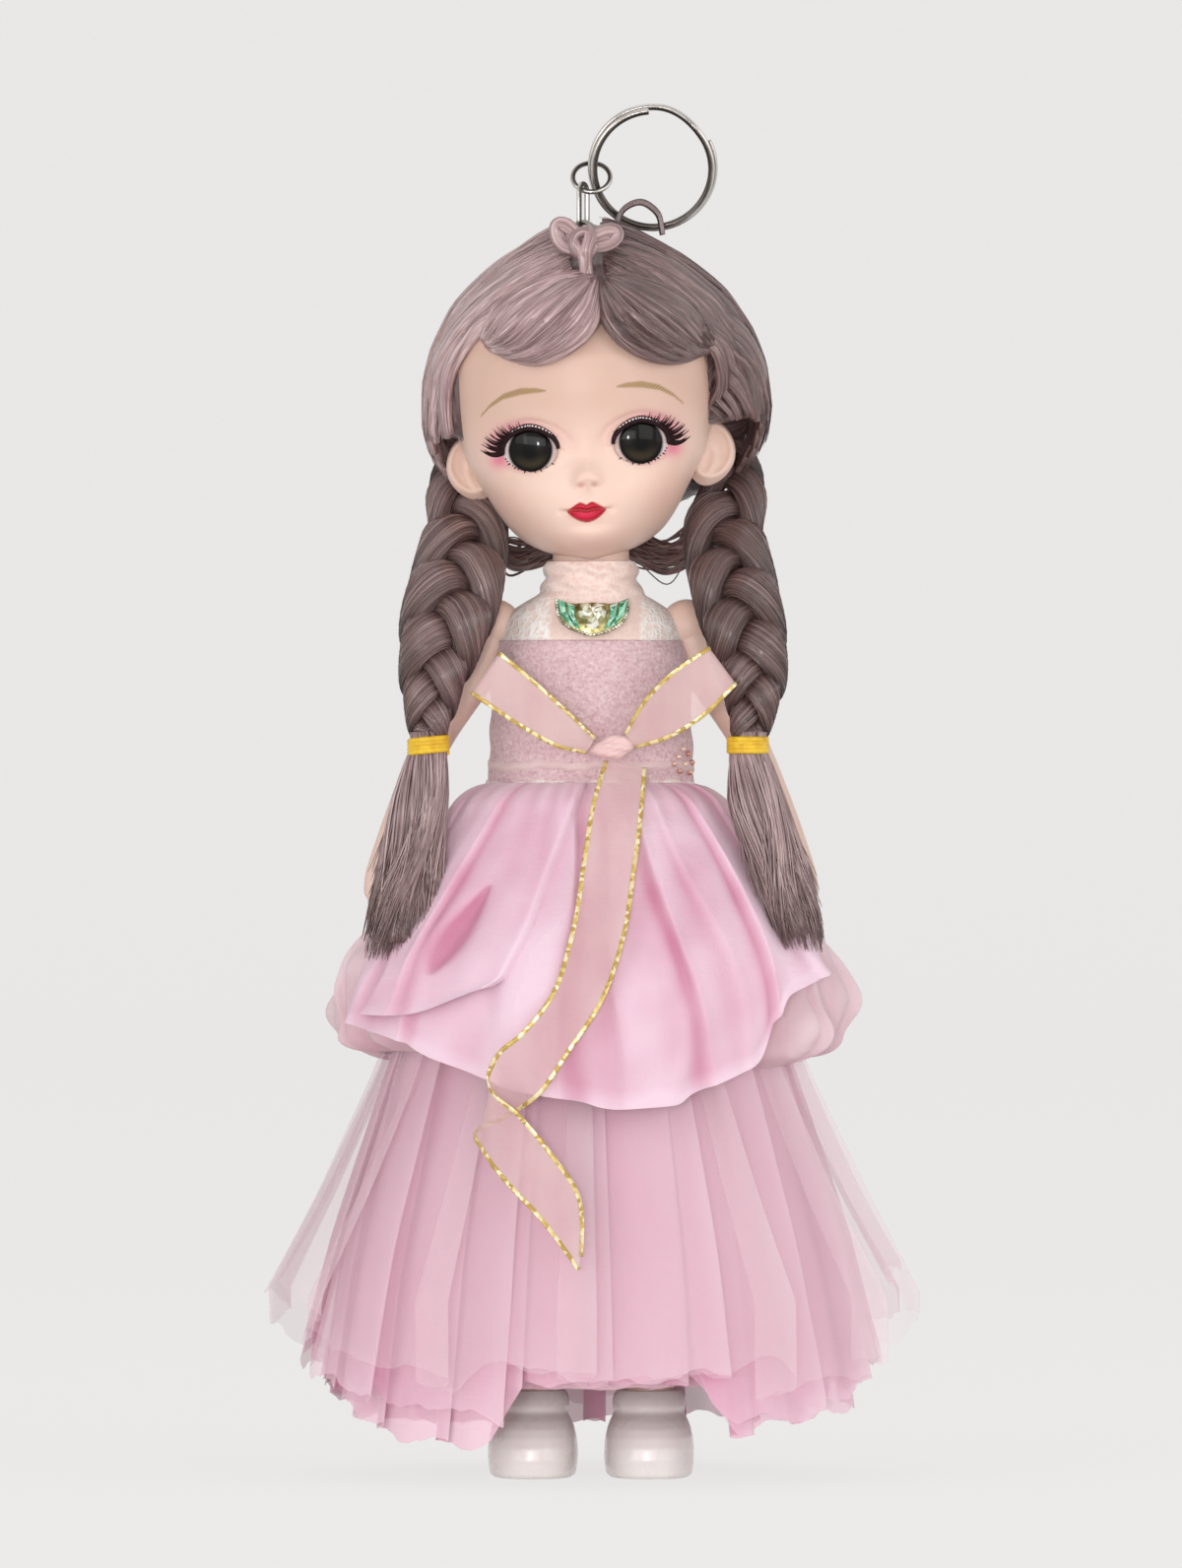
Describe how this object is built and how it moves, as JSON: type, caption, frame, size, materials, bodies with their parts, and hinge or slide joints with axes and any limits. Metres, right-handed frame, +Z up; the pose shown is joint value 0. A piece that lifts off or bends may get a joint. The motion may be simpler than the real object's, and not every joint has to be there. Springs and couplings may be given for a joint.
{
  "type": "doll keychain",
  "caption": "Fashion doll keychain in a layered tulle gown with plaited hair, hung by the top of its head from a chain link, a jump ring and a split ring.",
  "frame": {"origin": "on the floor under the middle of the skirt, where the shoe soles stand", "axes": "+Z up, the doll faces -Y, +X is to the right in the front view"},
  "size_m": [0.0962, 0.0796, 0.1914],
  "materials": {
    "skin_vinyl": "soft satin vinyl",
    "face_vinyl": "soft satin vinyl with painted features",
    "neck_plastic": "moulded plastic",
    "shoe_plastic": "moulded soft plastic",
    "eye_plastic": "polished",
    "lash_fibre": "fine fibre",
    "hair_fibre": "glossy synthetic hair",
    "elastic_band": "smooth",
    "ring_steel": "nickel plated",
    "brocade": "woven with metallic thread",
    "lace": "cream lace on sheer net",
    "closure_tape": "woven tape",
    "ribbon": "sheer ribbon with metallic gold edges",
    "brooch_metal": "polished",
    "clear_stone": "faceted, foil backed",
    "green_stone": "faceted, foil backed",
    "lining_cloth": "plain weave",
    "tulle": "fine net",
    "organza": "crisp sheer weave"
  },
  "bodies": {
    "root": {"torso_front": "skin_vinyl", "torso_back": "skin_vinyl", "neck_post": "neck_plastic", "hair_tail_left": "hair_fibre", "hair_tail_right": "hair_fibre", "elastic_left": "elastic_band", "elastic_right": "elastic_band", "bodice": "brocade", "yoke_lace": "lace", "back_closure": "closure_tape", "waist_sash": "ribbon", "bow_knot": "ribbon", "bow_loop_left": "ribbon", "bow_loop_right": "ribbon", "bow_tail": "ribbon", "brooch_plate": "brooch_metal", "brooch_heart": "clear_stone", "brooch_wing_left": "green_stone", "brooch_wing_right": "green_stone", "skirt_lining": "lining_cloth", "tulle_inner": "tulle", "tulle_outer": "tulle", "overskirt": "organza", "overskirt_drape": "organza"},
    "head": {"head_shell": "face_vinyl", "eye_left": "eye_plastic", "eye_right": "eye_plastic", "lash_left": "lash_fibre", "lash_right": "lash_fibre", "hair_cap": "hair_fibre", "bang_left": "hair_fibre", "bang_right": "hair_fibre", "top_knot": "hair_fibre", "hair_loop": "hair_fibre", "screw_eye": "ring_steel", "screw_washer": "ring_steel", "screw_nut": "ring_steel", "braid_left": "hair_fibre", "braid_right": "hair_fibre"},
    "arm_left": {"arm_left": "skin_vinyl"},
    "arm_right": {"arm_right": "skin_vinyl"},
    "leg_left": {"leg_left": "skin_vinyl", "shoe_left": "shoe_plastic"},
    "leg_right": {"leg_right": "skin_vinyl", "shoe_right": "shoe_plastic"},
    "link": {"chain_link": "ring_steel"},
    "jump": {"jump_ring": "ring_steel"},
    "ring": {"split_ring": "ring_steel"}
  },
  "joints": [
    {"name": "head_turn", "type": "hinge", "parent": "root", "child": "head", "pos_m": [0.0002, 0, 0.1265], "axis": [0, 0, 1], "range_deg": [-30, 30], "deforming": ["braid_left", "braid_right"]},
    {"name": "arm_left_swing", "type": "hinge", "parent": "root", "child": "arm_left", "pos_m": [-0.0134, 0, 0.1185], "axis": [1, 0, 0], "range_deg": [-10, 42]},
    {"name": "arm_right_swing", "type": "hinge", "parent": "root", "child": "arm_right", "pos_m": [0.0134, 0, 0.1185], "axis": [1, 0, 0], "range_deg": [-10, 42]},
    {"name": "leg_left_swing", "type": "hinge", "parent": "root", "child": "leg_left", "pos_m": [-0.007, 0, 0.084], "axis": [1, 0, 0], "range_deg": [-12, 12]},
    {"name": "leg_right_swing", "type": "hinge", "parent": "root", "child": "leg_right", "pos_m": [0.007, 0, 0.084], "axis": [1, 0, 0], "range_deg": [-12, 12]},
    {"name": "link_swing", "type": "hinge", "parent": "head", "child": "link", "pos_m": [-0.0011, 0, 0.17438], "axis": [1, 0, 0], "range_deg": [0, 30]},
    {"name": "jump_ring_swing", "type": "hinge", "parent": "link", "child": "jump", "pos_m": [-0.0011, 0, 0.1797], "axis": [0, -1, 0], "range_deg": [0, 35]},
    {"name": "split_ring_swing", "type": "hinge", "parent": "jump", "child": "ring", "pos_m": [0.00022, 0.0012, 0.18114], "axis": [0, -0.9703, -0.2419], "range_deg": [0, 26]}
  ]
}
